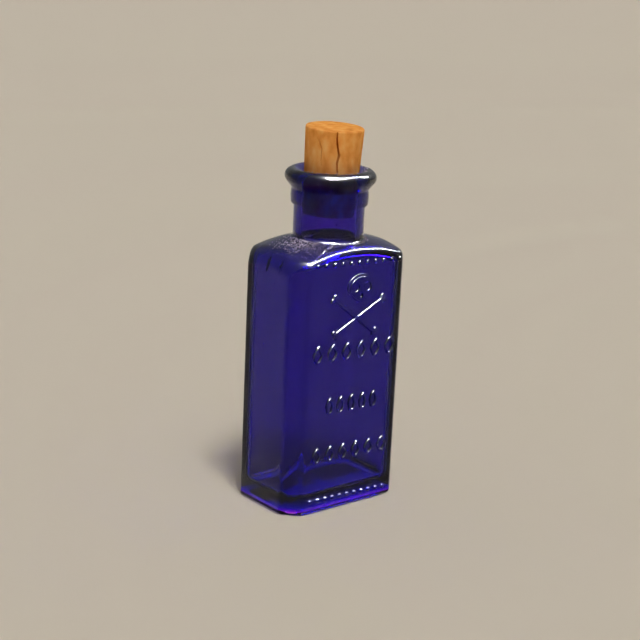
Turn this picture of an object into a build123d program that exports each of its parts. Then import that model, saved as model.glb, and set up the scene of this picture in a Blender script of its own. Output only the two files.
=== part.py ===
from build123d import *
import math
import os

# A small poison bottle of cobalt glass: a rectangular body with four cut corners, an arched
# shoulder, a short neck with a collar band under a rolled lip, and a tapered cork in its mouth.
# Millimetres. The origin is the middle of the base, on the surface that the bottle stands on.
# +Z is up, and the broad face with the raised signs looks along -Y.

# Glass body
BODY_WIDTH = 35.7
BODY_DEPTH = 23.2
CORNER_CUT = 3.9  # leg of each cut corner, along X and along Y
EDGE_RADIUS = 1.0  # round the shoulder and up the corners
HEEL_RADIUS = 0.9  # round the foot

# Shoulder: the arch of the front, turned about a low cross axis so that it falls forward too
CROWN_HEIGHT = 65.8  # top of the arch on the bottle's axis, hidden inside the neck
ARCH_RADIUS = 50.0
CROSS_ARCH_RADIUS = 34.0
SHOULDER_CORNER_RADIUS = 3.5  # where the arch turns down into the narrow sides

# Underside: a flat ring to stand on, round a shallow push-up
STANDING_RING_WIDTH = 3.2
PUSH_UP_DEPTH = 0.7
PUSH_UP_SLOPE_ANGLE = 45.0

# Inside of the body
WALL_THICKNESS = 2.3
FLOOR_THICKNESS = 3.6
CAVITY_SHOULDER_RADIUS = 2.5
CAVITY_EDGE_RADIUS = 1.2
CAVITY_FLOOR_RADIUS = 2.0

# Neck, collar band and rolled lip, upwards from the crown
NECK_RISE = 7.0  # from the crown to the collar
NECK_RADIUS = 8.48
NECK_ROOT_RADIUS = 0.6
COLLAR_HEIGHT = 3.7
COLLAR_STEP = 0.66  # how far the collar stands out of the neck
COLLAR_BULGE = 0.2
COLLAR_EDGE_RADIUS = 0.5
LIP_HEIGHT = 4.7  # from the collar to the lip's crest
LIP_RADIUS = 10.92
LIP_ROLL_RADIUS = 1.8  # of the roll's round outer edge
MOUTH_ROUND_HEIGHT = 1.6  # how far the roll turns down into the bore
BORE_ROOT_RADIUS = 1.2  # where the bore opens into the body

# Cork: it stands in the bore with a slight lean, as a cork pushed in by hand does
CORK_TOP_RADIUS = 7.0
CORK_END_RADIUS = 6.2
CORK_LENGTH = 20.7
CORK_INSERTION = 10.8  # how far it reaches below the crest of the lip
CORK_RIM_BEVEL = 0.4
CORK_CLEARANCE = 0.3  # round the cork in the bore
CORK_LEAN_ANGLE = 2.0
CORK_LEAN_HEADING = -39.0  # from +X towards +Y, seen from above
CORK_SLANT_ANGLE = 3.0  # its upper end is cut a little out of square
CORK_SLANT_HEADING = -129.0

# Shared by all cuts and by the searches for an edge
OVERRUN = 2.0
NEAR_SHARE = 0.01

HALF_WIDTH = BODY_WIDTH / 2
HALF_DEPTH = BODY_DEPTH / 2
CROSS_AXIS_HEIGHT = CROWN_HEIGHT - CROSS_ARCH_RADIUS
COLLAR_BOTTOM_HEIGHT = CROWN_HEIGHT + NECK_RISE
COLLAR_TOP_HEIGHT = COLLAR_BOTTOM_HEIGHT + COLLAR_HEIGHT
COLLAR_RADIUS = NECK_RADIUS + COLLAR_STEP
GLASS_HEIGHT = COLLAR_TOP_HEIGHT + LIP_HEIGHT
CREST_RADIUS = LIP_RADIUS - LIP_ROLL_RADIUS
SEAT_TOP_HEIGHT = GLASS_HEIGHT - MOUTH_ROUND_HEIGHT
CORK_END_HEIGHT = GLASS_HEIGHT - CORK_INSERTION
CORK_TAPER = (CORK_TOP_RADIUS - CORK_END_RADIUS) / CORK_LENGTH
THROAT_RADIUS = CORK_END_RADIUS + CORK_CLEARANCE
CORNER_INSET_SHARE = 2 - math.sqrt(2)  # what a cut corner's leg loses when its outline is inset


def cut_corner(inset):
    """The leg of a cut corner on the body's outline, inset by a wall thickness."""
    return CORNER_CUT - CORNER_INSET_SHARE * inset


def body_outline(inset):
    """The body's outline seen from above, a rectangle with cut corners."""
    x, y, cut = HALF_WIDTH - inset, HALF_DEPTH - inset, cut_corner(inset)
    quarter = [(x, y - cut), (x - cut, y)]
    points = []
    for x_sign, y_sign in ((1, 1), (-1, 1), (-1, -1), (1, -1)):
        in_turn = quarter if x_sign == y_sign else quarter[::-1]
        points += [(x_sign * px, y_sign * py) for px, py in in_turn]
    return make_face(Polyline(*points, close=True))


def broad_faces_prism(inset, top):
    """A prism with the broad faces and cut corners, which meet in a point beyond each side."""
    x, y = HALF_WIDTH - inset - cut_corner(inset), HALF_DEPTH - inset
    points = [(-x, -y), (x, -y), (x + y, 0), (x, y), (-x, y), (-x - y, 0)]
    return extrude(make_face(Polyline(*points, close=True)), amount=top)


def arched_block(inset, corner_radius):
    """A block between the narrow sides, topped by the front's arch turned about the cross axis."""
    x, crown, radius = HALF_WIDTH - inset, CROWN_HEIGHT - inset, ARCH_RADIUS - inset
    side_height = crown - radius + math.sqrt(radius**2 - x**2)
    left, right = (-x, side_height), (x, side_height)
    arch = ThreePointArc(left, (0, crown), right)
    sides = Polyline(right, (x, CROSS_AXIS_HEIGHT), (-x, CROSS_AXIS_HEIGHT), left)
    front = make_face(Plane.XZ * (arch + sides))
    front = fillet(front.vertices().group_by(Axis.Z)[-1], corner_radius)
    barrel = revolve(front, Axis((0, 0, CROSS_AXIS_HEIGHT), (1, 0, 0)))
    block = extrude(Rectangle(2 * x, 2 * (CROSS_ARCH_RADIUS - inset)), amount=CROSS_AXIS_HEIGHT)
    return (block + barrel).clean()


def is_upright(edge):
    """True for a straight edge that runs up the body."""
    direction = edge.tangent_at(0)
    return edge.geom_type == GeomType.LINE and abs(direction.Z) > abs(direction.X)


def is_shoulder_edge(edge, inset):
    """True for a curved edge round the shoulder, but not for a seam across the smooth sides."""
    middle = edge.position_at(0.5)
    on_side = abs(middle.X) > (HALF_WIDTH - inset) * (1 - NEAR_SHARE)
    return edge.geom_type != GeomType.LINE and abs(middle.Y) > HALF_DEPTH / 2 and not on_side


def rounded_body(inset, floor, corner_radius, edge_radius, foot_radius):
    """The body without its neck, from a floor height up, with its edges rounded."""
    prism = broad_faces_prism(inset, CROWN_HEIGHT + OVERRUN)
    blank = (arched_block(inset, corner_radius) & prism).clean()
    if floor > 0:
        blank = split(blank, Plane.XY.offset(floor), keep=Keep.TOP)
    edges = [edge for edge in blank.edges() if is_upright(edge) or is_shoulder_edge(edge, inset)]
    rounded = fillet(edges, edge_radius)
    return fillet(rounded.edges().group_by(Axis.Z)[0], foot_radius)


def lip_roll(angle):
    """A point on the lip's roll, at an angle from +X upwards."""
    turned = math.radians(angle)
    x = CREST_RADIUS + LIP_ROLL_RADIUS * math.cos(turned)
    return x, GLASS_HEIGHT - LIP_ROLL_RADIUS + LIP_ROLL_RADIUS * math.sin(turned)


def undercut_angle():
    """Where the straight undercut from the collar's upper edge meets the roll, at a tangent."""
    across = COLLAR_RADIUS - CREST_RADIUS
    down = COLLAR_TOP_HEIGHT - (GLASS_HEIGHT - LIP_ROLL_RADIUS)
    beside = math.degrees(math.acos(LIP_ROLL_RADIUS / math.hypot(across, down)))
    return math.degrees(math.atan2(down, across)) + beside


def neck_profile():
    """Half of the neck, collar and lip, cut through the axis and solid to it."""
    crest, roll_end = (CREST_RADIUS, GLASS_HEIGHT), lip_roll(undercut_angle())
    roll = ThreePointArc(crest, lip_roll((90 + undercut_angle()) / 2), roll_end)
    collar_top, collar_end = (COLLAR_RADIUS, COLLAR_TOP_HEIGHT), (COLLAR_RADIUS, COLLAR_BOTTOM_HEIGHT)
    collar_middle = (COLLAR_RADIUS + COLLAR_BULGE, COLLAR_TOP_HEIGHT - COLLAR_HEIGHT / 2)
    collar = ThreePointArc(collar_top, collar_middle, collar_end)
    neck_and_axis = Polyline(
        collar_end,
        (NECK_RADIUS, COLLAR_BOTTOM_HEIGHT),
        (NECK_RADIUS, CROSS_AXIS_HEIGHT),
        (0, CROSS_AXIS_HEIGHT),
        (0, GLASS_HEIGHT),
        crest,
    )
    profile = make_face(roll + Line(roll_end, collar_top) + collar + neck_and_axis)
    foot = profile.vertices().sort_by_distance(collar_end)[0]
    return Plane.XZ * fillet(foot, COLLAR_EDGE_RADIUS)


def neck_solid():
    """The neck, collar band and rolled lip, turned about the bottle's axis."""
    return revolve(neck_profile(), Axis.Z)


def seat_radius(height):
    """The bore's radius at a height beside the cork."""
    return THROAT_RADIUS + (height - CORK_END_HEIGHT) * CORK_TAPER


def bore():
    """What the bore takes away: its rounded mouth, the cork's tapered seat and a straight run."""
    mouth_x = seat_radius(SEAT_TOP_HEIGHT)
    mouth = EllipticalCenterArc(
        (CREST_RADIUS, SEAT_TOP_HEIGHT), CREST_RADIUS - mouth_x, MOUTH_ROUND_HEIGHT, 90, arc_size=90
    )
    seat_and_axis = Polyline(
        (mouth_x, SEAT_TOP_HEIGHT),
        (THROAT_RADIUS, CORK_END_HEIGHT),
        (THROAT_RADIUS, CROSS_AXIS_HEIGHT),
        (0, CROSS_AXIS_HEIGHT),
        (0, GLASS_HEIGHT + OVERRUN),
        (CREST_RADIUS, GLASS_HEIGHT + OVERRUN),
        (CREST_RADIUS, GLASS_HEIGHT),
    )
    return revolve(make_face(Plane.XZ * (mouth + seat_and_axis)), Axis.Z)


def neck_root(shape, radius):
    """The edges where a round neck or bore meets the shoulder's arch."""

    def on_cylinder(point):
        return abs(math.hypot(point.X, point.Y) - radius) < radius * NEAR_SHARE

    shares = [0, 0.3, 0.6, 1]
    below_collar = shape.edges().filter_by_position(Axis.Z, CROSS_AXIS_HEIGHT, COLLAR_BOTTOM_HEIGHT)
    curved = [edge for edge in below_collar if edge.geom_type not in (GeomType.LINE, GeomType.CIRCLE)]
    return [edge for edge in curved if all(on_cylinder(point) for point in edge.positions(shares))]


def glass_bottle():
    """The bottle: body, shoulder and neck of one piece of glass, hollow and open at the mouth."""
    body = rounded_body(0, 0, SHOULDER_CORNER_RADIUS, EDGE_RADIUS, HEEL_RADIUS)
    outside = body + neck_solid()
    outside = fillet(neck_root(outside, NECK_RADIUS), NECK_ROOT_RADIUS)
    cavity = rounded_body(
        WALL_THICKNESS, FLOOR_THICKNESS, CAVITY_SHOULDER_RADIUS, CAVITY_EDGE_RADIUS, CAVITY_FLOOR_RADIUS
    )
    hollow = cavity + bore()
    hollow = fillet(neck_root(hollow, THROAT_RADIUS), BORE_ROOT_RADIUS)
    push_up = extrude(body_outline(STANDING_RING_WIDTH), amount=PUSH_UP_DEPTH, taper=PUSH_UP_SLOPE_ANGLE)
    return outside - hollow - push_up


def cork_stopper():
    """The cork: a cone cut slightly out of square at its upper end, leaning in the bore."""
    uncut_length = CORK_LENGTH + OVERRUN
    uncut_top_radius = CORK_END_RADIUS + CORK_TAPER * uncut_length
    on_its_end = (Align.CENTER, Align.CENTER, Align.MIN)
    cork = Cone(CORK_END_RADIUS, uncut_top_radius, uncut_length, align=on_its_end)
    slant, heading = math.radians(CORK_SLANT_ANGLE), math.radians(CORK_SLANT_HEADING)
    top_normal = (math.sin(slant) * math.cos(heading), math.sin(slant) * math.sin(heading), math.cos(slant))
    cork = split(cork, Plane((0, 0, CORK_LENGTH), z_dir=top_normal), keep=Keep.BOTTOM)
    rims = [edge for edge in cork.edges() if edge.geom_type != GeomType.LINE]
    cork = chamfer(rims, CORK_RIM_BEVEL)
    lean = math.radians(CORK_LEAN_HEADING)
    lean_axis = Axis((0, 0, CORK_INSERTION / 2), (-math.sin(lean), math.cos(lean), 0))
    return Pos(0, 0, CORK_END_HEIGHT) * cork.rotate(lean_axis, CORK_LEAN_ANGLE)


def main():
    """Build both pieces and write one STEP file for each."""
    os.makedirs("parts", exist_ok=True)
    for name, build in (("glass_bottle", glass_bottle), ("cork_stopper", cork_stopper)):
        piece = build()
        export_step(piece, f"parts/{name}.step")
        print(name, "solids", len(piece.solids()), "volume", round(piece.volume, 2))


main()
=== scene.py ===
"""The poison bottle: cobalt glass with raised signs on its front, and the old cork in its neck.

Lengths are in millimetres while a piece is shaped, and its mesh goes to metres at the end.
"""

import logging
import math
import random
from collections.abc import Callable, Sequence
from dataclasses import dataclass, field
from enum import Enum

import bmesh
import bpy
from mathutils import Matrix, Vector, noise

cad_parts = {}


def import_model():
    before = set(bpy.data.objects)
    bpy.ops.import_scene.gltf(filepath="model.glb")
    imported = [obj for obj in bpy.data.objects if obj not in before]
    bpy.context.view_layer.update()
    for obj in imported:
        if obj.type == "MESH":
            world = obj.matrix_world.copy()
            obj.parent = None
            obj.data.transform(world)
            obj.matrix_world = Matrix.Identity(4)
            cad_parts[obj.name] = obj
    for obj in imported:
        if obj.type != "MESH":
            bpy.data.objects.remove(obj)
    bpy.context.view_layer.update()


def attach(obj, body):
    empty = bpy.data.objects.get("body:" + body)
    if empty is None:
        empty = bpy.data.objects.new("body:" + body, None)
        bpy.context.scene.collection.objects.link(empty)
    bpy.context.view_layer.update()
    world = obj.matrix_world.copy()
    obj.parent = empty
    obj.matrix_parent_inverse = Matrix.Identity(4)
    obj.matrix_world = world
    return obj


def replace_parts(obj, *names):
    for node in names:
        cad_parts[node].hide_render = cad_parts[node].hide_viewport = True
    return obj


MM = 0.001
FRONT_Y = -11.6
LOG = logging.getLogger("poison_bottle")

Point = tuple[float, float]
Ring = list[Vector]


class Slot(Enum):
    """The record's material slots."""

    GLASS = "cobalt_glass"
    CORK = "cork"


class Body(Enum):
    """The bodies that move on their own."""

    BOTTLE = "bottle"
    STOPPER = "stopper"


class Join(Enum):
    """What a Boolean step does with the other solids."""

    ADD = "UNION"
    CUT = "DIFFERENCE"


def arc(centre: Point, radii: Point, start: float, end: float, steps: int) -> list[Point]:
    """Points along an arc or a part of an ellipse.

    Args:
        centre: The arc's middle.
        radii: Its two half axes.
        start: The first point's angle in degrees.
        end: The last point's angle.
        steps: How many pieces the arc has.

    Returns:
        The points, with both ends.
    """
    angles = [math.radians(start + (end - start) * k / steps) for k in range(steps + 1)]
    return [(centre[0] + radii[0] * math.cos(a), centre[1] + radii[1] * math.sin(a)) for a in angles]


def softened(corners: Sequence[tuple[float, float, float]], steps: int = 4) -> list[Point]:
    """A path with its corners rounded.

    Args:
        corners: Each corner's two coordinates and the radius that rounds it.
        steps: How many pieces each rounding has.

    Returns:
        The path's points.
    """
    path: list[Point] = []
    for before, here, after in zip([corners[0], *corners], corners, [*corners[1:], corners[-1]]):
        middle = Vector(here[:2])
        if here[2] == 0:
            path.append(here[:2])
            continue
        back, on = (Vector(other[:2]) - middle for other in (before, after))
        reach = here[2] / math.tan(back.angle(on) / 2)
        start, end = middle + back.normalized() * reach, middle + on.normalized() * reach
        for k in range(steps + 1):
            t = k / steps
            path.append(tuple(start * (1 - t) ** 2 + middle * 2 * t * (1 - t) + end * t**2))
    return path


def rounding(radius: float, distance: float) -> float:
    """How far a rounded edge lies below the plain surface at a distance from the wall."""
    short = max(0.0, radius - max(0.0, distance))
    return radius - math.sqrt(radius**2 - short**2)


def segment_distance(point: Vector, start: Vector, end: Vector) -> float:
    """How far a point is from a straight piece.

    Args:
        point: The point.
        start: Where the piece starts.
        end: Where it ends.

    Returns:
        The distance.
    """
    along = end - start
    t = min(1.0, max(0.0, (point - start).dot(along) / along.length_squared))
    return (point - start - along * t).length


def lofted(rings: Sequence[Ring]) -> bmesh.types.BMesh:
    """A closed solid, extruded ring by ring and capped at both ends.

    Args:
        rings: The places of the points of each ring, all with the same count.

    Returns:
        The solid with its faces outwards.
    """
    bm = bmesh.new()
    column = bm.verts.layers.int.new("column")
    first = bmesh.ops.create_circle(bm, segments=len(rings[0]), radius=1)["verts"]
    for number, vert in enumerate(first):
        vert[column] = number
        vert.co = rings[0][number]
    edges = list(bm.edges)
    bmesh.ops.contextual_create(bm, geom=edges)
    for ring in rings[1:]:
        made = bmesh.ops.extrude_edge_only(bm, edges=edges)["geom"]
        for vert in (v for v in made if isinstance(v, bmesh.types.BMVert)):
            vert.co = ring[vert[column]]
        edges = [e for e in made if isinstance(e, bmesh.types.BMEdge) and e.is_boundary]
    bmesh.ops.contextual_create(bm, geom=edges)
    bmesh.ops.recalc_face_normals(bm, faces=bm.faces)
    return bm


def workpiece(name: str, bm: bmesh.types.BMesh) -> bpy.types.Object:
    """An object made of a bmesh, for the Boolean steps.

    Args:
        name: The object's name.
        bm: Its shape, which is used up.

    Returns:
        The object, in the units of its shape.
    """
    mesh = bpy.data.meshes.new(name)
    bm.to_mesh(mesh)
    bm.free()
    piece = bpy.data.objects.new(name, mesh)
    bpy.context.scene.collection.objects.link(piece)
    return piece


def joined(base: bpy.types.Object, others: Sequence[bpy.types.Object], join: Join) -> bpy.types.Object:
    """One solid, made of the base with the others added or cut away.

    Args:
        base: The solid that stays.
        others: The solids that are used up.
        join: Whether they are added or cut away.

    Returns:
        The new workpiece, under the base's name.
    """
    group = bpy.data.collections.new("operands")
    for other in others:
        group.objects.link(other)
    boolean = base.modifiers.new("join", "BOOLEAN")
    boolean.operation = join.value
    boolean.solver = "EXACT"
    boolean.operand_type = "COLLECTION"
    boolean.collection = group
    bpy.context.view_layer.update()
    shaped = bpy.data.meshes.new_from_object(base.evaluated_get(bpy.context.evaluated_depsgraph_get()))
    name = base.name
    for used in (base, *others):
        bpy.data.objects.remove(used)
    bpy.data.collections.remove(group)
    piece = bpy.data.objects.new(name, shaped)
    bpy.context.scene.collection.objects.link(piece)
    return piece


def finished(
    piece: bpy.types.Object,
    name: str,
    material: bpy.types.Material,
    body: Body,
    crease_degrees: float,
) -> bpy.types.Object:
    """Brings a workpiece to metres, smooths it, dresses it and sets it on its body.

    Args:
        piece: The workpiece in millimetres.
        name: The finished piece's name.
        material: What it is made of.
        body: The body that it rides on.
        crease_degrees: Edges steeper than this stay crisp.

    Returns:
        The finished piece.
    """
    piece.name = name
    mesh = piece.data
    mesh.name = name
    mesh.transform(Matrix.Scale(MM, 4))
    mesh.materials.clear()
    mesh.materials.append(material)
    mesh.shade_smooth()
    mesh.set_sharp_from_angle(angle=math.radians(crease_degrees))
    weighted = piece.modifiers.new("even_shading", "WEIGHTED_NORMAL")
    weighted.keep_sharp = True
    weighted.mode = "FACE_AREA_WITH_ANGLE"
    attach(piece, body.value)
    LOG.info("%s: %d faces", name, len(mesh.polygons))
    return piece


@dataclass(frozen=True)
class NodeBench:
    """A material's node tree, with short ways to add nodes to it."""

    material: bpy.types.Material

    @classmethod
    def fresh(cls, name: str) -> "NodeBench":
        """A new material with an empty tree."""
        material = bpy.data.materials.new(name)
        material.use_nodes = True
        material.node_tree.nodes.clear()
        return cls(material)

    def add(self, kind: str, **values: object) -> bpy.types.Node:
        """A new node.

        Args:
            kind: The node's type.
            values: Its settings, and its inputs by name with spaces as underscores.

        Returns:
            The node.
        """
        node = self.material.node_tree.nodes.new(kind)
        for key, value in values.items():
            label = key.replace("_", " ")
            if label in node.inputs:
                node.inputs[label].default_value = value
            else:
                setattr(node, key, value)
        return node

    def link(self, start: bpy.types.NodeSocket, end: bpy.types.NodeSocket) -> None:
        """Joins an output to an input."""
        self.material.node_tree.links.new(start, end)

    def surface(self, skin: bpy.types.Node) -> bpy.types.Node:
        """Makes a shader the material's surface.

        Args:
            skin: The shader's node.

        Returns:
            The material's output node.
        """
        output = self.add("ShaderNodeOutputMaterial")
        self.link(skin.outputs["BSDF"], output.inputs["Surface"])
        return output

    def relief(self, height: bpy.types.NodeSocket, strength: float, depth: float) -> bpy.types.NodeSocket:
        """A skin's fine relief.

        Args:
            height: What raises and sinks it.
            strength: How much of it shows.
            depth: How deep it is, in metres.

        Returns:
            The normal.
        """
        bump = self.add("ShaderNodeBump", Strength=strength, Distance=depth)
        self.link(height, bump.inputs["Height"])
        return bump.outputs["Normal"]

    def grain(self, coordinates: bpy.types.NodeSocket, scale: float, detail: float) -> bpy.types.NodeSocket:
        """A noise.

        Args:
            coordinates: What it lies over.
            scale: Its features per metre.
            detail: How many finer layers it has.

        Returns:
            The value, from 0 to 1.
        """
        texture = self.add("ShaderNodeTexNoise", Scale=scale, Detail=detail)
        self.link(coordinates, texture.inputs["Vector"])
        return texture.outputs["Fac"]

    def stretched(self, scale: Sequence[float]) -> bpy.types.NodeSocket:
        """Object coordinates, each scaled on its own.

        Args:
            scale: The factors along X, Y and Z.

        Returns:
            The coordinates.
        """
        place = self.add("ShaderNodeTexCoord")
        mapping = self.add("ShaderNodeMapping", Scale=tuple(scale))
        self.link(place.outputs["Object"], mapping.inputs["Vector"])
        return mapping.outputs["Vector"]

    def shades(
        self, value: bpy.types.NodeSocket, stops: Sequence[tuple[float, Sequence[float]]]
    ) -> bpy.types.NodeSocket:
        """A colour ramp over a value.

        Args:
            value: What the ramp reads.
            stops: The places of its colours and the colours.

        Returns:
            The colour.
        """
        ramp = self.add("ShaderNodeValToRGB")
        elements = ramp.color_ramp.elements
        while len(elements) < len(stops):
            elements.new(0.5)
        for element, (place, colour) in zip(elements, stops):
            element.position = place
            element.color = (*colour, 1)
        self.link(value, ramp.inputs["Fac"])
        return ramp.outputs["Color"]

    def times(self, first: bpy.types.NodeSocket, second: bpy.types.NodeSocket) -> bpy.types.NodeSocket:
        """One colour laid over another as a stain.

        Args:
            first: The colour below.
            second: The stain.

        Returns:
            The product of both.
        """
        product = self.add("ShaderNodeVectorMath", operation="MULTIPLY")
        self.link(first, product.inputs[0])
        self.link(second, product.inputs[1])
        return product.outputs["Vector"]

    def along_height(self, low: float, high: float) -> bpy.types.NodeSocket:
        """How far up a point is between two heights.

        Args:
            low: The lower height in metres.
            high: The upper height.

        Returns:
            The share, from 0 to 1.
        """
        place = self.add("ShaderNodeTexCoord")
        axes = self.add("ShaderNodeSeparateXYZ")
        share = self.add("ShaderNodeMapRange", From_Min=low, From_Max=high)
        self.link(place.outputs["Object"], axes.inputs["Vector"])
        self.link(axes.outputs["Z"], share.inputs["Value"])
        return share.outputs["Result"]


@dataclass(frozen=True)
class CobaltGlass:
    """Old moulded cobalt glass: handled to a faint sheen on its skin, and deep blue-violet within."""

    refraction: float = 1.47
    roughness: float = 0.08
    reflected_tint: tuple[float, float, float] = (0.38, 0.38, 0.48)
    worn_skin: float = 0.2
    worn_roughness: float = 0.28
    passed_colour: tuple[float, float, float] = (0.45, 0.03, 0.87)
    density: float = 1600.0
    wave_scale: float = 110.0
    wave_height: float = 0.0004
    wave_strength: float = 0.12

    def material(self) -> bpy.types.Material:
        """The glass as a material."""
        bench = NodeBench.fresh("moulded_cobalt_glass")
        skin = bench.add(
            "ShaderNodeBsdfPrincipled",
            Base_Color=(1, 1, 1, 1),
            Roughness=self.roughness,
            IOR=self.refraction,
            Specular_Tint=(*self.reflected_tint, 1),
            Transmission_Weight=1.0,
            Coat_Weight=self.worn_skin,
            Coat_Roughness=self.worn_roughness,
            Coat_IOR=1.5,
        )
        waves = bench.grain(bench.stretched((1, 1, 0.5)), self.wave_scale, 2)
        normal = bench.relief(waves, self.wave_strength, self.wave_height)
        bench.link(normal, skin.inputs["Normal"])
        bench.link(normal, skin.inputs["Coat Normal"])
        depth = bench.add("ShaderNodeVolumeAbsorption", Color=(*self.passed_colour, 1), Density=self.density)
        bench.link(depth.outputs["Volume"], bench.surface(skin).inputs["Volume"])
        return bench.material


@dataclass(frozen=True)
class DryCork:
    """Dry aged cork: orange tan, mottled and matt, and stained a dull grey where it sat in the neck."""

    tones: tuple[tuple[float, tuple[float, float, float]], ...] = (
        (0.25, (0.76, 0.25, 0.045)),
        (0.5, (0.93, 0.38, 0.08)),
        (0.8, (0.98, 0.54, 0.17)),
    )
    stains: tuple[tuple[float, tuple[float, float, float]], ...] = (
        (0.0, (0.4, 0.84, 2.9)),
        (0.3, (0.46, 0.84, 2.7)),
        (0.43, (0.92, 0.94, 1.1)),
        (1.0, (1.0, 1.0, 1.0)),
    )
    foot: float = 0.0704
    top: float = 0.0915
    mottle_scale: float = 420.0
    pore_scale: float = 2600.0
    pore_depth: float = 0.0002

    def material(self) -> bpy.types.Material:
        """The cork as a material."""
        bench = NodeBench.fresh("dry_cork")
        skin = bench.add("ShaderNodeBsdfPrincipled", Roughness=0.85, Specular_IOR_Level=0.0)
        mottle = bench.grain(bench.stretched((1, 1, 0.6)), self.mottle_scale, 6)
        stain = bench.shades(bench.along_height(self.foot, self.top), self.stains)
        bench.link(bench.times(bench.shades(mottle, self.tones), stain), skin.inputs["Base Color"])
        pores = bench.grain(bench.stretched((1, 1, 0.7)), self.pore_scale, 5)
        bench.link(bench.relief(pores, 0.4, self.pore_depth), skin.inputs["Normal"])
        bench.surface(skin)
        return bench.material


@dataclass(frozen=True)
class PaleCorkDust:
    """The pale, dull dust and crumbs of the cork."""

    tones: tuple[tuple[float, tuple[float, float, float]], ...] = (
        (0.35, (0.5, 0.4, 0.42)),
        (0.65, (0.78, 0.7, 0.7)),
    )
    mottle_scale: float = 900.0

    def material(self) -> bpy.types.Material:
        """The dust as a material."""
        bench = NodeBench.fresh("pale_cork_dust")
        skin = bench.add("ShaderNodeBsdfPrincipled", Roughness=0.95, Specular_IOR_Level=0.0)
        mottle = bench.grain(bench.stretched((1, 1, 1)), self.mottle_scale, 3)
        bench.link(bench.shades(mottle, self.tones), skin.inputs["Base Color"])
        bench.surface(skin)
        return bench.material


@dataclass(frozen=True)
class PaleFloorPaint:
    """The plain pale paint of the studio floor."""

    colour: tuple[float, float, float] = (0.66, 0.58, 0.47)

    def material(self) -> bpy.types.Material:
        """The paint as a material."""
        bench = NodeBench.fresh("pale_floor")
        look = {"Base_Color": (*self.colour, 1), "Roughness": 0.9, "Specular_IOR_Level": 0.0}
        bench.surface(bench.add("ShaderNodeBsdfPrincipled", **look))
        return bench.material


@dataclass(frozen=True)
class CutRectangle:
    """The body's plan: a rectangle with cut corners and rounded upright edges."""

    half_width: float = 17.85
    half_depth: float = 11.6
    corner_cut: float = 3.9
    side_steps: int = 18
    cut_steps: int = 6
    broad_steps: int = 36
    arc_steps: int = 4

    def reaches(self) -> list[float]:
        """How far the eight faces are from the axis, anticlockwise from +X."""
        cut = (self.half_width + self.half_depth - self.corner_cut) / math.sqrt(2)
        return [self.half_width, cut, self.half_depth, cut] * 2

    def corners(self, inset: float) -> list[Vector]:
        """The eight corners of the plan.

        Args:
            inset: How far the plan is moved in.

        Returns:
            The corners, anticlockwise.
        """
        reaches = [reach - inset for reach in self.reaches()]
        places = []
        for face in range(8):
            here, after = math.radians(45 * face), math.radians(45 * (face + 1))
            faces = Matrix(((math.cos(here), math.sin(here)), (math.cos(after), math.sin(after))))
            places.append(faces.inverted() @ Vector((reaches[face], reaches[(face + 1) % 8])))
        return places

    def ring(self, inset: float, radius: float) -> list[Point]:
        """The plan's points, anticlockwise.

        Args:
            inset: How far the plan is moved in.
            radius: What rounds its upright edges.

        Returns:
            The points, as many for every inset.
        """
        steps = [self.side_steps, self.cut_steps, self.broad_steps, self.cut_steps] * 2
        arcs = [
            arc(tuple(corner), (radius, radius), 45 * face, 45 * (face + 1), self.arc_steps)
            for face, corner in enumerate(self.corners(inset + radius))
        ]
        points: list[Point] = []
        for face, bend in enumerate(arcs):
            points += bend
            start, end = Vector(bend[-1]), Vector(arcs[(face + 1) % 8][0])
            count = steps[(face + 1) % 8]
            points += [tuple(start.lerp(end, k / count)) for k in range(1, count)]
        return points


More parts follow.
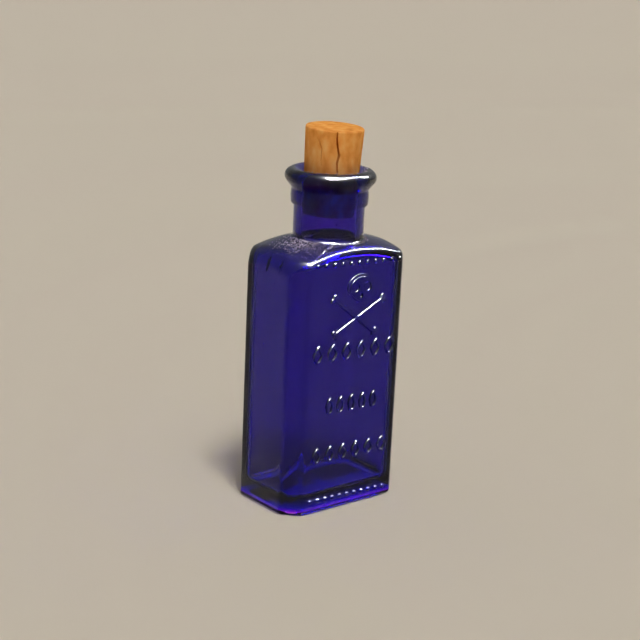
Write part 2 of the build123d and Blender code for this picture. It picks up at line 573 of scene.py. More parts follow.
@dataclass(frozen=True)
class ArchedShape:
    """The arched outside or inside of the body: its plan, its dome and where a round neck meets it."""

    plan: CutRectangle
    inset: float
    crown: float
    arch_radius: float
    upright_radius: float
    corner_radius: float
    edge_radius: float
    neck_radius: float
    root_radius: float
    axis_height: float = 31.8
    dome_rings: int = 36

    def outline(self) -> list[Point]:
        """The plan at this shape's own inset."""
        return self.plan.ring(self.inset, self.upright_radius)

    def edge_distance(self, x: float, y: float) -> float:
        """How far a point in plan is from the broad faces and the cuts.

        Args:
            x: The point's place along the broad faces.
            y: Its place across them.

        Returns:
            The shortest distance, with the upright edges rounded.
        """
        reaches = self.plan.reaches()
        radius = self.upright_radius
        broad = reaches[2] - self.inset - abs(y)
        cut = reaches[1] - self.inset - (abs(x) + abs(y)) / math.sqrt(2)
        if min(broad, cut) >= radius:
            return min(broad, cut)
        inner = self.plan.corners(self.inset + radius)
        point = Vector((abs(x), abs(y)))
        broad_piece = segment_distance(point, Vector((0, inner[1].y)), inner[1])
        past_cut = inner[1] + (inner[0] - inner[1]) * 2
        return radius - min(broad_piece, segment_distance(point, inner[1], past_cut))

    def dome(self, x: float, y: float) -> float:
        """The shoulder's height over a point in plan, without the neck.

        Args:
            x: The point's place along the broad faces.
            y: Its place across them.

        Returns:
            The height.
        """
        profile = self.crown - self.arch_radius + math.sqrt(self.arch_radius**2 - x**2)
        profile -= rounding(self.corner_radius, self.plan.half_width - self.inset - abs(x))
        height = self.axis_height + math.sqrt((profile - self.axis_height) ** 2 - y**2)
        return height - rounding(self.edge_radius, self.edge_distance(x, y))

    def height(self, x: float, y: float) -> float:
        """The shoulder's height over a point in plan, with the neck's rounded root."""
        return self.dome(x, y) + rounding(self.root_radius, math.hypot(x, y) - self.neck_radius)

    def dome_rings_from_wall(self, directions: Sequence[Vector]) -> list[Ring]:
        """The shoulder's rings, from the wall's upper edge to the neck.

        Args:
            directions: Where the neck's points look, one for each column.

        Returns:
            The rings, with both ends.
        """
        starts = [Vector(point) for point in self.outline()]
        ends = [direction * self.neck_radius for direction in directions]
        rings = []
        for step in range(self.dome_rings + 1):
            share = (1 - math.cos(math.pi * step / self.dome_rings)) / 2
            places = [start.lerp(end, share) for start, end in zip(starts, ends)]
            rings.append([Vector((p.x, p.y, self.height(p.x, p.y))) for p in places])
        return rings


@dataclass(frozen=True)
class NeckForm:
    """The neck, collar band, rolled lip and bore, as profiles of radius and height."""

    radius: float = 8.48
    collar_bottom: float = 72.8
    collar_top: float = 76.5
    collar_radius: float = 9.14
    collar_bulge: float = 0.2
    height: float = 81.2
    lip_radius: float = 10.92
    roll_radius: float = 1.8
    mouth_height: float = 1.6
    throat_radius: float = 6.5
    seat_bottom: float = 70.4
    seat_taper: float = 0.0386

    def outside(self) -> list[Point]:
        """The profile from the neck's root up to the lip's crest."""
        half = (self.collar_top - self.collar_bottom) / 2
        bend = (half**2 + self.collar_bulge**2) / (2 * self.collar_bulge)
        centre = (self.collar_radius + self.collar_bulge - bend, self.collar_bottom + half)
        crest, roll_height = self.lip_radius - self.roll_radius, self.height - self.roll_radius
        down = self.collar_top - roll_height
        across = self.collar_radius - crest
        tangent = math.degrees(math.atan2(down, across) + math.acos(self.roll_radius / math.hypot(across, down)))
        opening = math.degrees(math.asin(half / bend))
        band = arc(centre, (bend, bend), -opening * 0.72, opening * 0.9, 7)
        band_corners = [(x, z, 0.0) for x, z in band]
        roll = arc((crest, roll_height), (self.roll_radius, self.roll_radius), tangent, 90, 18)
        foot = (self.collar_radius + 0.04, self.collar_bottom, 0.42)
        corners = [(self.radius, z, 0.0) for z in (66.6, 68.6, 70.6, 72.2)]
        corners += [(self.radius, self.collar_bottom, 0.22), foot, *band_corners]
        corners += [(self.collar_radius, self.collar_top, 0.25), (*roll[0], 0.0)]
        return softened(corners) + roll[1:]

    def inside(self) -> list[Point]:
        """The profile from beside the lip's crest down the bore."""
        crest = self.lip_radius - self.roll_radius
        seat_top = self.height - self.mouth_height
        seat = self.throat_radius + (seat_top - self.seat_bottom) * self.seat_taper
        mouth = arc((crest, seat_top), (crest - seat, self.mouth_height), 90, 180, 10)[1:]
        narrowing, drop = self.throat_radius - seat, self.seat_bottom - seat_top
        cone = [(seat + narrowing * k / 4, seat_top + drop * k / 4) for k in range(1, 5)]
        straight = [(self.throat_radius, z) for z in (69.0, 67.2, 65.4)]
        return mouth + cone + straight


def turned(profile: Sequence[Point], directions: Sequence[Vector], waver: float = 0.0) -> list[Ring]:
    """Round rings for a profile of radius and height.

    Args:
        profile: The radius and height of each ring.
        directions: Where the points of a ring look.
        waver: How far hand-finished glass strays from the profile at its top.

    Returns:
        The rings, the lowest of them always true.
    """
    bottom, top = min(z for _, z in profile), max(z for _, z in profile)
    rings = []
    for r, z in profile:
        share = waver * min(1.0, max(0.0, (z - bottom) / (top - bottom)))
        ring = []
        for d in directions:
            stray = share * noise.noise(Vector((d.x * 1.6, d.y * 1.6, z * 0.25 + 5)))
            rise = share * noise.noise(Vector((d.x * 2.3, d.y * 2.3, 11)))
            ring.append(Vector((d.x * (r + stray), d.y * (r + stray), z + rise)))
        rings.append(ring)
    return rings


@dataclass
class RaisedSigns:
    """What stands proud of the glass: skull and crossbones, rows of lozenges, rows of beads and the mould seam."""

    proud: float = 0.55
    sunk: float = 0.35
    tilt_degrees: float = -1.6
    bead_radius: float = 0.62
    lozenge_stroke: float = 0.8
    lozenge_corner: float = 0.95
    pearl_radius: float = 0.58
    bone_radius: float = 0.6
    knob_radius: float = 0.75
    bone_ends: tuple[tuple[Point, Point], ...] = (((-6.3, 43.9), (8.3, 51.2)), ((-6.9, 52.7), (5.9, 43.3)))
    skull_place: Point = (1.15, 54.6)
    skull_size: Point = (4.3, 3.5)
    skull_hollows: tuple[tuple[float, float, float, float], ...] = (
        (-0.7, 54.9, 1.15, 1.2), (2.95, 54.85, 1.15, 1.2), (1.1, 52.9, 0.45, 0.7),
    )
    seam_start: Point = (-13.6, -10.95)
    seam_run: Point = (9.9, 3.45)
    lozenge_rows: tuple[tuple[float, float, float, int], ...] = (
        (39.35, 12.7, 4.3, 6), (26.3, 8.1, 4.2, 5), (14.2, 11.7, 4.0, 6),
    )
    bead_rows: tuple[tuple[float, float, float], ...] = ((60.75, -12.2, 12.9), (2.9, -11.6, 11.4))
    beads_in_row: int = 11

    def on_front(self, across: float, up: float) -> Matrix:
        """The place of a sign that is drawn in its own XY plane, with +Z out of the glass.

        Args:
            across: The place along X.
            up: The height.

        Returns:
            The matrix that carries it to the front face.
        """
        slope = math.radians(self.tilt_degrees)
        place = Matrix.Translation((across, FRONT_Y, up + across * math.tan(slope)))
        return place @ Matrix.Rotation(math.pi / 2, 4, "X") @ Matrix.Rotation(slope, 4, "Z")

    def beads(self) -> bpy.types.Object:
        """Both rows of small round beads."""
        bm = bmesh.new()
        squash = Matrix.Diagonal((1, 1, (self.proud + 0.06) / self.bead_radius, 1))
        for up, left, right in self.bead_rows:
            for number in range(self.beads_in_row):
                across = left + (right - left) * number / (self.beads_in_row - 1)
                place = self.on_front(across, up) @ Matrix.Translation((0, 0, -0.06)) @ squash
                bmesh.ops.create_uvsphere(bm, u_segments=18, v_segments=10, radius=self.bead_radius, matrix=place)
        return workpiece("beads", bm)

    def lozenges(self) -> list[bpy.types.Object]:
        """The three rows of hollow lozenges."""
        made = []
        for up, half_span, tall, count in self.lozenge_rows:
            pitch = 2 * half_span / (count - 0.25)
            wide = pitch * 0.75
            for number in range(count):
                across = -half_span + wide / 2 + pitch * number
                bm = self.lozenge(wide, tall)
                for side, radius in ((1, self.pearl_radius), (-1, self.pearl_radius * 0.7)):
                    reach = Matrix.Translation((0, side * (tall - self.lozenge_stroke) / 2, 0))
                    squash = Matrix.Diagonal((1, 1, (self.proud + 0.04) / radius, 1))
                    bmesh.ops.create_uvsphere(bm, u_segments=16, v_segments=10, radius=radius, matrix=reach @ squash)
                bmesh.ops.transform(bm, matrix=self.on_front(across, up), verts=bm.verts)
                made.append(workpiece("lozenge", bm))
        return made

    def lozenge(self, wide: float, tall: float) -> bmesh.types.BMesh:
        """One hollow lozenge with a rounded stroke and rounded corners.

        Args:
            wide: Its width.
            tall: Its height.

        Returns:
            The lozenge, lying in its own XY plane.
        """
        side, peak = wide / 2 - self.lozenge_corner, tall / 2 - self.lozenge_corner
        opening = math.degrees(math.atan2(side, peak))
        corners = (
            ((side, 0), -opening, opening),
            ((0, peak), opening, 180 - opening),
            ((-side, 0), 180 - opening, 180 + opening),
            ((0, -peak), 180 + opening, 360 - opening),
        )
        half = self.lozenge_stroke / 2
        profile = [(0.0, -self.sunk), *arc((half, 0), (half, self.proud), 180, 0, 10), (2 * half, -self.sunk + 0.1)]
        rings = []
        for inset, up in profile:
            radius = self.lozenge_corner - inset
            plan = [point for centre, start, end in corners for point in arc(centre, (radius, radius), start, end, 7)]
            rings.append([Vector((x, y, up)) for x, y in plan])
        return lofted(rings)

    def bones(self) -> list[bpy.types.Object]:
        """The two crossed bones, each a shaft with two knobs at either end."""
        pieces = []
        flat = Matrix.Diagonal((1, (self.proud + 0.1) / self.bone_radius, 1, 1))
        knob_flat = Matrix.Diagonal((1, (self.proud + 0.1) / self.knob_radius, 1, 1))
        for start, end in self.bone_ends:
            low, high = (Vector((x, FRONT_Y + 0.1, z)) for x, z in (start, end))
            along = (high - low).normalized()
            aside = Vector((-along.z, 0, along.x)) * self.knob_radius * 0.75
            turn = along.to_track_quat("Z", "Y").to_matrix().to_4x4()
            shaft = bmesh.new()
            bmesh.ops.create_cone(
                shaft, cap_ends=True, segments=16, radius1=self.bone_radius, radius2=self.bone_radius,
                depth=(high - low).length, matrix=turn,
            )
            bmesh.ops.transform(shaft, matrix=flat, verts=shaft.verts)
            bmesh.ops.translate(shaft, vec=(low + high) / 2, verts=shaft.verts)
            pieces.append(workpiece("bone", shaft))
            for tip, side in ((low, -1), (low, 1), (high, -1), (high, 1)):
                knob = bmesh.new()
                bmesh.ops.create_uvsphere(knob, u_segments=16, v_segments=10, radius=self.knob_radius)
                bmesh.ops.transform(knob, matrix=knob_flat, verts=knob.verts)
                bmesh.ops.translate(knob, vec=tip + aside * side, verts=knob.verts)
                pieces.append(workpiece("knob", knob))
        return pieces

    def skull(self) -> bpy.types.Object:
        """The traditional skull: a stepped egg-shaped plate with sunk eyes and nose."""
        step = self.proud * 0.55
        profile = [(0.0, -self.sunk), *arc((0.45, 0), (0.45, step), 180, 90, 5)]
        profile += arc((1.08, step - 0.03), (0.42, self.proud - step + 0.03), 180, 90, 5)
        half_width, half_height = self.skull_size
        rings = []
        for inset, up in profile:
            ring = []
            for x, y in arc((0, 0), (1, 1), 0, 360 - 360 / 56, 55):
                jaw = 1 - 0.5 * max(0.0, -y - 0.1) ** 1.3
                ring.append(Vector((x * jaw * (half_width - inset), y * (half_height - inset), up)))
            rings.append(ring)
        bm = lofted(rings)
        bmesh.ops.transform(bm, matrix=self.on_front(*self.skull_place), verts=bm.verts)
        holes = []
        for across, up, wide, tall in self.skull_hollows:
            eye = bmesh.new()
            bmesh.ops.create_uvsphere(eye, u_segments=20, v_segments=12, radius=1)
            bmesh.ops.scale(eye, vec=(wide, 0.55, tall), verts=eye.verts)
            bmesh.ops.translate(eye, vec=(across, FRONT_Y - self.proud + 0.1, up), verts=eye.verts)
            holes.append(workpiece("hollow", eye))
        return joined(workpiece("skull", bm), holes, Join.CUT)

    def seam(self, dome: Callable[[float, float], float]) -> bpy.types.Object:
        """The mould's seam over the shoulder, a thin ridge from a front corner to the neck.

        Args:
            dome: The shoulder's height over a point in plan.

        Returns:
            The ridge.
        """
        along = Vector((*self.seam_run, 0)).normalized()
        aside = Vector((-along.y, along.x, 0))
        steps = 24
        rings = []
        for step in range(steps + 1):
            share = step / steps
            x, y = (start + run * share for start, run in zip(self.seam_start, self.seam_run))
            middle = Vector((x, y, dome(x, y) - 0.13))
            size = 0.15 + 0.08 * share + 0.04 * noise.noise(Vector((x, y, 3.0)))
            rings.append(
                [middle + aside * size * math.cos(a) + Vector((0, 0, size * math.sin(a)))
                 for a in (math.tau * k / 10 for k in range(10))]
            )
        return workpiece("seam", lofted(rings))


@dataclass
class GlassBottle:
    """The bottle's glass: body, shoulder, neck, collar band and rolled lip in one piece."""

    plan: CutRectangle = field(default_factory=CutRectangle)
    neck: NeckForm = field(default_factory=NeckForm)
    signs: RaisedSigns = field(default_factory=RaisedSigns)
    finish: CobaltGlass = field(default_factory=CobaltGlass)
    wall: float = 2.3
    floor_height: float = 3.6
    floor_radius: float = 2.0
    heel_radius: float = 0.9
    standing_ring: float = 3.2
    push_up: float = 0.7
    wall_rings: int = 4
    waver: float = 0.12
    seeds: tuple[tuple[float, float, float, float], ...] = (
        (-3.4, -6.9, 69.2, 0.17), (1.9, -7.3, 70.9, 0.14), (4.6, -5.9, 67.9, 0.2), (-5.9, -4.6, 74.6, 0.16),
        (-0.6, -8.0, 75.2, 0.2), (3.1, -7.4, 74.1, 0.15), (-6.7, -3.6, 66.9, 0.13), (0.4, -7.5, 66.8, 0.12),
        (-16.7, -2.2, 55.6, 0.18), (-16.6, 3.4, 52.4, 0.15), (-16.8, -4.6, 46.8, 0.14), (-16.7, 1.2, 40.3, 0.16),
        (-16.6, -3.1, 29.4, 0.15), (-10.6, -10.4, 51.9, 0.16), (10.9, -10.5, 56.7, 0.18), (13.2, -10.4, 47.4, 0.15),
        (-8.7, -10.5, 33.4, 0.14), (11.2, -10.4, 21.3, 0.17), (-4.1, -10.5, 20.2, 0.13), (-14.9, -8.6, 36.4, 0.14),
    )

    def outer_shape(self) -> ArchedShape:
        """The body's outside."""
        return ArchedShape(
            self.plan, inset=0.0, crown=65.8, arch_radius=50.0, upright_radius=1.1, corner_radius=3.5,
            edge_radius=1.0, neck_radius=self.neck.radius, root_radius=0.6,
        )

    def inner_shape(self) -> ArchedShape:
        """The cavity inside it."""
        return ArchedShape(
            self.plan, inset=self.wall, crown=63.5, arch_radius=47.7, upright_radius=3.9, corner_radius=2.5,
            edge_radius=1.2, neck_radius=self.neck.throat_radius, root_radius=1.2,
        )

    def foot_rings(self) -> list[Ring]:
        """The underside's rings, from the push-up's flat over the standing ring to the heel."""
        path = softened(
            [
                (self.standing_ring + self.push_up + 0.6, self.push_up, 0.0),
                (self.standing_ring + self.push_up, self.push_up, 0.3),
                (self.standing_ring, 0.0, 0.3),
                (self.heel_radius, 0.0, 0.0),
            ]
        )
        path += arc((self.heel_radius, self.heel_radius), (self.heel_radius,) * 2, 270, 180, 7)[1:]
        upright = self.outer_shape().upright_radius
        return [
            [Vector((x, y, z)) for x, y in self.plan.ring(inset, max(0.25, upright - inset))] for inset, z in path
        ]

    def wall_between(self, low: float, top: Ring) -> list[Ring]:
        """The rings of an upright wall, without either end."""
        shares = [step / (self.wall_rings + 1) for step in range(1, self.wall_rings + 1)]
        return [[Vector((p.x, p.y, low + (p.z - low) * share)) for p in top] for share in shares]

    def shell(self) -> bpy.types.Object:
        """The whole glass without its raised signs."""
        outer, inner = self.outer_shape(), self.inner_shape()
        directions = [Vector(point).normalized() for point in outer.outline()]
        shoulder = outer.dome_rings_from_wall(directions)
        cavity_top = inner.dome_rings_from_wall(directions)[::-1]
        rings = self.foot_rings()
        rings += self.wall_between(self.heel_radius, shoulder[0])
        rings += shoulder
        rings += turned(self.neck.outside(), directions, self.waver) + turned(self.neck.inside(), directions)
        rings += cavity_top
        floor_rise = self.floor_height + self.floor_radius
        rings += self.wall_between(floor_rise, cavity_top[-1])[::-1]
        path = arc((self.wall + self.floor_radius, floor_rise), (self.floor_radius,) * 2, 180, 270, 8)
        for inset, z in path:
            radius = max(0.3, inner.upright_radius - (inset - self.wall))
            rings.append([Vector((x, y, z)) for x, y in self.plan.ring(inset, radius)])
        return workpiece("glass", lofted(rings))

    def bubbles(self) -> bpy.types.Object:
        """The small seeds of air in the glass, a little drawn out upwards."""
        bm = bmesh.new()
        for x, y, z, radius in self.seeds:
            place = Matrix.Translation((x, y, z)) @ Matrix.Diagonal((1, 1, 1.5, 1))
            bmesh.ops.create_icosphere(bm, subdivisions=2, radius=radius, matrix=place)
        return workpiece("seeds", bm)

    def build(self) -> bpy.types.Object:
        """The finished glass, in place of the plain one."""
        signs = self.signs
        raised = [signs.beads(), *signs.lozenges(), *signs.bones(), signs.skull(), signs.seam(self.outer_shape().dome)]
        glass = joined(joined(self.shell(), raised, Join.ADD), [self.bubbles()], Join.CUT)
        piece = finished(glass, "glass_bottle_dressed", self.finish.material(), Body.BOTTLE, 38)
        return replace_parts(piece, "glass_bottle")


@dataclass
class CorkStopper:
    """The tapered cork, cut out of square at its top, cracked and leaning in the neck."""

    finish: DryCork = field(default_factory=DryCork)
    end_radius: float = 6.2
    top_radius: float = 7.0
    length: float = 20.7
    insertion: float = 10.8
    end_height: float = 70.4
    rim: float = 0.4
    lean_degrees: float = 2.0
    lean_heading: float = -39.0
    slant_degrees: float = 3.0
    slant_heading: float = -129.0
    main_crack: tuple[Point, ...] = (
        (-123.9, 91.6), (-124.9, 88.9), (-122.0, 87.0), (-117.4, 85.3), (-120.7, 83.6), (-118.6, 81.4), (-118.9, 79.4),
    )
    side_crack: tuple[Point, ...] = (
        (-165.0, 89.5), (-159.8, 88.5), (-156.5, 87.3), (-153.2, 86.2), (-154.0, 83.9), (-152.5, 82.6),
    )
    fork: tuple[Point, ...] = ((-148.5, 90.1), (-153.0, 89.5), (-159.6, 88.9))

    def taper(self) -> float:
        """How much the radius grows over each millimetre of height."""
        return (self.top_radius - self.end_radius) / self.length

    def blank(self) -> bmesh.types.BMesh:
        """The cork standing on its end, with slanted top and bevelled rims."""
        bm = bmesh.new()
        uncut = self.length + 2
        bmesh.ops.create_cone(
            bm, cap_ends=True, segments=128, radius1=self.end_radius,
            radius2=self.end_radius + self.taper() * uncut, depth=uncut,
            matrix=Matrix.Translation((0, 0, uncut / 2)),
        )
        slant, heading = math.radians(self.slant_degrees), math.radians(self.slant_heading)
        normal = Vector((math.sin(slant) * math.cos(heading), math.sin(slant) * math.sin(heading), math.cos(slant)))
        geometry = bm.verts[:] + bm.edges[:] + bm.faces[:]
        cut = bmesh.ops.bisect_plane(
            bm, geom=geometry, plane_co=(0, 0, self.length), plane_no=normal, clear_outer=True
        )["geom_cut"]
        bmesh.ops.contextual_create(bm, geom=[e for e in cut if isinstance(e, bmesh.types.BMEdge)])
        caps = [f for f in bm.faces if len(f.verts) > 4]
        rims = [e for f in caps for e in f.edges]
        bmesh.ops.bevel(bm, geom=rims, affect="EDGES", offset=self.rim, segments=3, profile=0.5, material=-1)
        for step in range(1, 40):
            height = self.rim + (self.length - 2.2 * self.rim - 0.8) * step / 40
            geometry = bm.verts[:] + bm.edges[:] + bm.faces[:]
            bmesh.ops.bisect_plane(bm, geom=geometry, plane_co=(0, 0, height), plane_no=(0, 0, 1))
        for cap in [f for f in bm.faces if len(f.verts) > 6]:
            for _ in range(12):
                bmesh.ops.inset_region(bm, faces=[cap], thickness=0.48, use_even_offset=True)
        bmesh.ops.recalc_face_normals(bm, faces=bm.faces)
        return bm

    def roughen(self, bm: bmesh.types.BMesh) -> None:
        """Sinks the skin a little here and there.

        Args:
            bm: The cork, which is changed in place.
        """
        bm.normal_update()
        normals = {vert: vert.normal.copy() for vert in bm.verts}
        for vert, normal in normals.items():
            place = vert.co
            broad = noise.noise(Vector((place.x * 0.35, place.y * 0.35, place.z * 0.25)))
            fine = noise.noise(Vector((place.x * 1.6, place.y * 1.6, place.z * 0.8)))
            depth = 0.06 * (0.5 + broad / 2) + 0.05 * max(0.0, fine)
            vert.co = place - normal * depth

    def lean(self) -> Matrix:
        """How the cork leans and where it stands in the neck."""
        heading = math.radians(self.lean_heading)
        axis = Vector((-math.sin(heading), math.cos(heading), 0))
        pivot = Matrix.Translation((0, 0, self.insertion / 2))
        turn = Matrix.Rotation(math.radians(self.lean_degrees), 4, axis)
        return Matrix.Translation((0, 0, self.end_height)) @ pivot @ turn @ pivot.inverted()

    def crack(self, path: Sequence[Point], width: float, depth: float) -> bpy.types.Object:
        """A thin wedge that follows a crack in the cork's side.

        Args:
            path: The crack's angles in degrees and heights.
            width: How far it gapes in the middle.
            depth: How deep it goes.

        Returns:
            The wedge, to be cut away.
        """
        places: list[Point] = []
        for (angle, z), (next_angle, next_z) in zip(path, path[1:]):
            for k in range(4):
                wander = 1.1 * noise.noise(Vector((angle, z + (next_z - z) * k / 4, 7.3)))
                places.append((angle + (next_angle - angle) * k / 4 + wander, z + (next_z - z) * k / 4))
        places.append(path[-1])
        heading = math.radians(self.lean_heading)
        rings: list[Ring] = []
        for number, (angle, z) in enumerate(places):
            out = Vector((math.cos(math.radians(angle)), math.sin(math.radians(angle)), 0))
            aside = Vector((-out.y, out.x, 0))
            shift = (z - self.end_height - self.insertion / 2) * math.tan(math.radians(self.lean_degrees))
            axis = Vector((shift * math.cos(heading), shift * math.sin(heading), z))
            radius = self.end_radius + (z - self.end_height) * self.taper()
            share = number / (len(places) - 1)
            gape = width * (0.25 + 0.75 * math.sin(math.pi * (0.15 + 0.8 * share))) / 2
            mouth = axis + out * (radius + 0.5)
            root = axis + out * (radius - depth * (0.6 + 0.4 * math.sin(math.pi * share)))
            rings.append([mouth - aside * gape * 1.6, mouth + aside * gape * 1.6, root])
        return workpiece("crack", lofted(rings))

    def build(self) -> bpy.types.Object:
        """The finished cork, in place of the plain one."""
        bm = self.blank()
        self.roughen(bm)
        bmesh.ops.transform(bm, matrix=self.lean(), verts=bm.verts)
        paths = ((self.main_crack, 0.5, 1.5), (self.side_crack, 0.36, 0.9), (self.fork, 0.28, 0.6))
        cracks = [self.crack(path, width, depth) for path, width, depth in paths]
        cork = joined(workpiece("cork", bm), cracks, Join.CUT)
        piece = finished(cork, "cork_stopper_dressed", self.finish.material(), Body.STOPPER, 40)
        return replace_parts(piece, "cork_stopper")


@dataclass
class CorkDust:
    """What the dry cork has shed: crumbs round its foot, and dust on the shoulder and along the mould seam."""

    finish: PaleCorkDust = field(default_factory=PaleCorkDust)
    seed: int = 7
    crumbs: int = 70
    crumb_size: Point = (0.08, 0.2)
    speck_size: Point = (0.05, 0.14)
    drift_specks: int = 1300
    drift_middle: Point = (-8.9, -3.4)
    drift_spread: Point = (3.1, 3.4)
    root_specks: int = 230
    root_arc: Point = (-172.0, -28.0)
    seam_specks: int = 110
    seam_ends: tuple[Point, Point] = ((-13.6, -10.95), (-3.7, -7.5))

    def grain_of_dust(self, bm: bmesh.types.BMesh, place: Vector, size: float, chance: random.Random) -> None:
        """Adds one angular grain that lies at a place.

        Args:
            bm: Where it goes.
            place: The surface under it.
            size: About its radius.
            chance: What turns and stretches it.
        """
        turn = Matrix.Rotation(chance.uniform(0, math.tau), 4, Vector((chance.random(), chance.random(), 1)))
        stretch = Matrix.Diagonal((size * chance.uniform(0.7, 1.4), size * chance.uniform(0.6, 1.1), size * 0.7, 1))
        lifted = Matrix.Translation(place + Vector((0, 0, size * 0.35)))
        bmesh.ops.create_icosphere(bm, subdivisions=1, radius=1, matrix=lifted @ turn @ stretch)

    def speck(self, bm: bmesh.types.BMesh, shoulder: ArchedShape, plan: Sequence[float], chance: random.Random) -> None:
        """Adds one speck of dust that lies on the shoulder over a point in plan."""
        place = Vector((*plan, shoulder.height(*plan)))
        self.grain_of_dust(bm, place, chance.uniform(*self.speck_size), chance)

    def build(self, shoulder: ArchedShape, neck: NeckForm, cork_radius: float) -> bpy.types.Object:
        """The finished dust.

        Args:
            shoulder: The outside that it lies on.
            neck: The neck that it lies round.
            cork_radius: The cork's radius where it leaves the lip.

        Returns:
            The piece.
        """
        chance = random.Random(self.seed)
        bm = bmesh.new()
        for _ in range(self.drift_specks):
            x = chance.gauss(self.drift_middle[0], self.drift_spread[0])
            y = chance.gauss(self.drift_middle[1], self.drift_spread[1])
            if math.hypot(x, y) > neck.radius + 0.3 and x > -16.2 and abs(y) < 10.2 and abs(x) + abs(y) < 24:
                self.speck(bm, shoulder, (x, y), chance)
        for _ in range(self.root_specks):
            angle = math.radians(chance.uniform(*self.root_arc))
            reach = neck.radius + 0.35 + abs(chance.gauss(0, 0.35))
            self.speck(bm, shoulder, (reach * math.cos(angle), reach * math.sin(angle)), chance)
        start, end = (Vector(point) for point in self.seam_ends)
        for _ in range(self.seam_specks):
            point = start.lerp(end, chance.random() ** 0.7) + Vector((chance.gauss(0, 0.1), chance.gauss(0, 0.22)))
            self.speck(bm, shoulder, point, chance)
        seat_top = neck.height - neck.mouth_height
        crest = neck.lip_radius - neck.roll_radius
        for _ in range(self.crumbs):
            angle = math.radians(chance.uniform(-190, 10))
            share = chance.uniform(0.1, 0.75)
            reach = crest + (cork_radius + 0.25 - crest) * share
            fall = neck.mouth_height * (1 - math.sqrt(max(0.0, 1 - share**2)))
            place = Vector((reach * math.cos(angle), reach * math.sin(angle), max(seat_top, neck.height - fall)))
            self.grain_of_dust(bm, place, chance.uniform(*self.crumb_size), chance)
        piece = workpiece("dust", bm)
        return finished(piece, "cork_dust", self.finish.material(), Body.BOTTLE, 50)


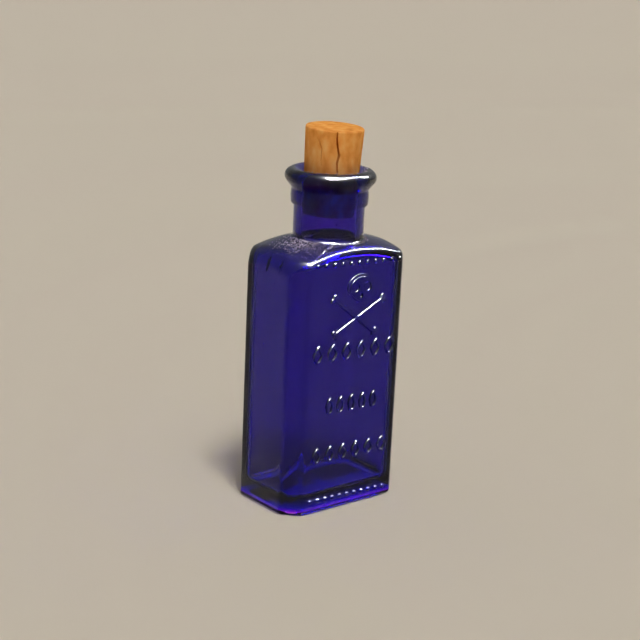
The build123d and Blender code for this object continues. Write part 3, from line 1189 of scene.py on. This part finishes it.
@dataclass(frozen=True)
class Studio:
    """The floor, the lights and the camera."""

    floor_half: float = 8.0
    floor_gap: float = 0.00006
    sun_from: tuple[float, float, float] = (-0.14, -0.38, 0.91)
    sun_strength: float = 1.35
    sun_degrees: float = 12.0
    fill_strength: float = 0.45
    glow_power: float = 0.0013
    glow_colour: tuple[float, float, float] = (0.8, 0.12, 1.0)
    glow_size: Point = (0.0325, 0.0205)
    glow_height: float = 0.0007
    glint_strength: float = 105.0
    glint_degrees: float = 32.0
    strip_ends: tuple[tuple[float, float, float], ...] = ((0.05, -0.38, 0.92), (0.85, -0.06, 0.53))
    strip_distance: float = 0.7
    strip_width: float = 0.13
    strip_power: float = 36.0
    world_grey: float = 0.25
    azimuth: float = -39.82
    elevation: float = 15.12
    roll: float = 2.62
    distance: float = 351.65
    target: tuple[float, float, float] = (-1.25, 0.0, 44.24)
    lens: float = 81.73

    def lay_floor(self) -> None:
        """The plain pale floor."""
        bm = bmesh.new()
        bmesh.ops.create_grid(bm, x_segments=1, y_segments=1, size=self.floor_half)
        bmesh.ops.translate(bm, vec=(0, 0, -self.floor_gap), verts=bm.verts)
        floor = workpiece("floor", bm)
        floor.data.materials.append(PaleFloorPaint().material())

    def add_lamp(self, name: str, kind: str, towards: Vector, aside: Vector) -> bpy.types.Object:
        """A lamp that looks at the bottle's middle.

        Args:
            name: The lamp's name.
            kind: Its type.
            towards: Where it stands, seen from the bottle's middle, in metres.
            aside: Which way its longer side runs.

        Returns:
            The lamp.
        """
        lamp = bpy.data.objects.new(name, bpy.data.lights.new(name, kind))
        out = towards.normalized()
        along = (aside - out * aside.dot(out)).normalized()
        axes = Matrix((along, out.cross(along), out)).transposed().to_4x4()
        lamp.matrix_world = Matrix.Translation(towards + Vector(self.target) * MM) @ axes
        bpy.context.scene.collection.objects.link(lamp)
        return lamp

    def add_sun(self, name: str, strength: float, degrees: float) -> bpy.types.Object:
        """A distant lamp on the key's side.

        Args:
            name: The lamp's name.
            strength: How bright it is.
            degrees: How wide it looks from the bottle.

        Returns:
            The lamp.
        """
        lamp = self.add_lamp(name, "SUN", Vector(self.sun_from), Vector((1, 0, 0)))
        lamp.data.energy = strength
        lamp.data.angle = math.radians(degrees)
        return lamp

    def light(self) -> None:
        """The soft key lamp, the glints beside it, the fill, the light that comes up through the base, the surround."""
        self.add_sun("key", self.sun_strength, self.sun_degrees)
        glint = self.add_sun("glint", self.glint_strength, self.glint_degrees)
        start, end = (Vector(place).normalized() for place in self.strip_ends)
        strip = self.add_lamp("strip", "AREA", (start + end) / 2 * self.strip_distance, end - start)
        strip.data.shape = "RECTANGLE"
        strip.data.size, strip.data.size_y = (end - start).length * self.strip_distance, self.strip_width
        strip.data.energy = self.strip_power
        for lamp in (glint, strip):
            lamp.visible_diffuse = False
            lamp.data.cycles.max_bounces = 0
        fill = self.add_sun("fill", self.fill_strength, self.glint_degrees)
        fill.data.use_shadow = False
        glow = self.add_lamp("glow", "AREA", Vector((0, 0, 1)), Vector((1, 0, 0)))
        glow.matrix_world = Matrix.Translation((0, 0, self.glow_height)) @ Matrix.Rotation(math.pi, 4, "X")
        glow.data.shape = "RECTANGLE"
        glow.data.size, glow.data.size_y = self.glow_size
        glow.data.energy = self.glow_power
        glow.data.color = self.glow_colour
        for ray in ("visible_camera", "visible_diffuse", "visible_glossy"):
            setattr(glow, ray, False)
        world = bpy.data.worlds.new("surround")
        world.use_nodes = True
        background = world.node_tree.nodes["Background"]
        background.inputs["Color"].default_value = (1, 1, 1, 1)
        background.inputs["Strength"].default_value = self.world_grey
        bpy.context.scene.world = world

    def place_camera(self) -> None:
        """The camera at the photograph's viewing angle."""
        a, e, tilt = (math.radians(v) for v in (self.azimuth, self.elevation, self.roll))
        back = Vector((math.sin(a) * math.cos(e), -math.cos(a) * math.cos(e), math.sin(e)))
        right = Vector((math.cos(a), math.sin(a), 0))
        up = back.cross(right)
        axes = (right * math.cos(tilt) + up * math.sin(tilt), up * math.cos(tilt) - right * math.sin(tilt), back)
        camera = bpy.data.objects.new("camera", bpy.data.cameras.new("camera"))
        camera.data.sensor_width = 36.0
        camera.data.lens = self.lens
        camera.data.clip_start, camera.data.clip_end = 0.01, 40.0
        place = Matrix.Translation((Vector(self.target) + back * self.distance) * MM)
        camera.matrix_world = place @ Matrix(axes).transposed().to_4x4()
        bpy.context.scene.collection.objects.link(camera)
        bpy.context.scene.camera = camera


def main() -> None:
    """Builds the bottle, its cork and the studio, and logs each piece's name and face count."""
    logging.basicConfig(level=logging.INFO, format="%(name)s: %(message)s")
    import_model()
    bottle, stopper, dust = GlassBottle(), CorkStopper(), CorkDust()
    leaving = stopper.end_radius + stopper.taper() * stopper.insertion
    pieces = (bottle.build(), stopper.build(), dust.build(bottle.outer_shape(), bottle.neck, leaving))
    LOG.info("built %s", ", ".join(piece.name for piece in pieces))
    studio = Studio()
    studio.lay_floor()
    studio.light()
    studio.place_camera()
    bpy.context.scene.view_settings.view_transform = "Standard"


if __name__ == "__main__":
    main()
